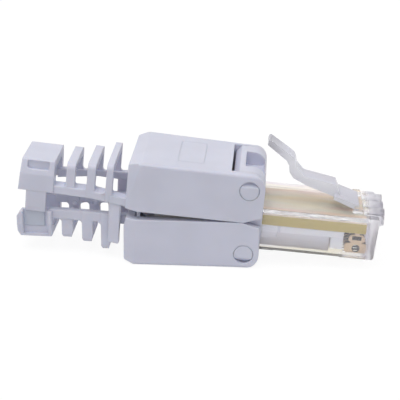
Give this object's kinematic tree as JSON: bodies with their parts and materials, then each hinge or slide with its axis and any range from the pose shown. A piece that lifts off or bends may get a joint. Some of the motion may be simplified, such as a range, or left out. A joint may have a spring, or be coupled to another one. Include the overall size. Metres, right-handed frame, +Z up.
{
  "type": "field termination ethernet plug",
  "caption": "Tool-less modular plug for a data cord: hinged white housing halves with ribbed strain relief, a clear nose with a spring tab, a board and brass contacts.",
  "frame": {"origin": "centre of the bounding box at the floor under the lower cover", "axes": "+X from the strain relief to the nose, +Z up, +Y across the nose"},
  "size_m": [0.0556, 0.0152, 0.0186],
  "materials": {
    "white_plastic": "moulded, slight sheen",
    "clear_plastic": "clear, polished",
    "inner_plastic": "moulded",
    "board": "laminate with a cut edge",
    "contact_metal": "plated"
  },
  "bodies": {
    "plug": {"plug_shell": "clear_plastic", "circuit_board": "board", "contact_insert": "inner_plastic", "contact_1": "contact_metal", "contact_2": "contact_metal", "contact_3": "contact_metal", "contact_4": "contact_metal", "contact_5": "contact_metal", "contact_6": "contact_metal", "contact_7": "contact_metal", "contact_8": "contact_metal", "centre_frame": "white_plastic", "idc_block_upper": "inner_plastic", "idc_block_lower": "inner_plastic", "idc_contact_1": "contact_metal", "idc_contact_2": "contact_metal", "idc_contact_3": "contact_metal", "idc_contact_4": "contact_metal", "idc_contact_5": "contact_metal", "idc_contact_6": "contact_metal", "idc_contact_7": "contact_metal", "idc_contact_8": "contact_metal", "wire_organizer": "inner_plastic"},
    "tab": {"latch_tab": "clear_plastic"},
    "upper_half": {"upper_cover": "white_plastic"},
    "lower_half": {"lower_cover": "white_plastic"}
  },
  "joints": [
    {"name": "upper_cover_hinge", "type": "hinge", "parent": "plug", "child": "upper_half", "pos_m": [0.00754, 0, 0.01248], "axis": [0, 1, 0], "range_deg": [-1.2, 55]},
    {"name": "lower_cover_hinge", "type": "hinge", "parent": "plug", "child": "lower_half", "pos_m": [0.0069, 0, 0.0023], "axis": [0, 1, 0], "range_deg": [-80, 3.6]},
    {"name": "latch_flex", "type": "hinge", "parent": "plug", "child": "tab", "pos_m": [0.02365, 0, 0.00898], "axis": [0, 1, 0], "range_deg": [-12, 0], "stiffness_Nm_per_rad": 0.2}
  ]
}
